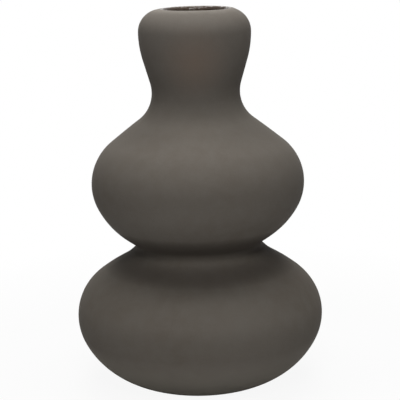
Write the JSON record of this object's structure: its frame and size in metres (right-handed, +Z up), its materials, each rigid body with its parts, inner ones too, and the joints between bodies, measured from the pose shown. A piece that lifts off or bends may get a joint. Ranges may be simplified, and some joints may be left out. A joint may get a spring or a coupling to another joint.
{
  "type": "gourd vase",
  "caption": "Free-standing gourd-shaped flower vase in matt grey-brown stoneware, with stacked bulbs, a crisp waist, a narrow neck and a small open mouth glazed dark brown inside.",
  "frame": {"origin": "centre of the flat foot, in the plane of the table", "axes": "+Z up along the turning axis; the picture's front faces -Y, with +X to the right"},
  "size_m": [0.1649, 0.165, 0.25],
  "materials": {
    "stoneware": "matt, slightly velvety, fine speckle",
    "inner_glaze": "glossy dark brown glaze"
  },
  "bodies": {
    "root": {"vase_body": "stoneware", "glaze_lining": "inner_glaze"}
  },
  "joints": []
}
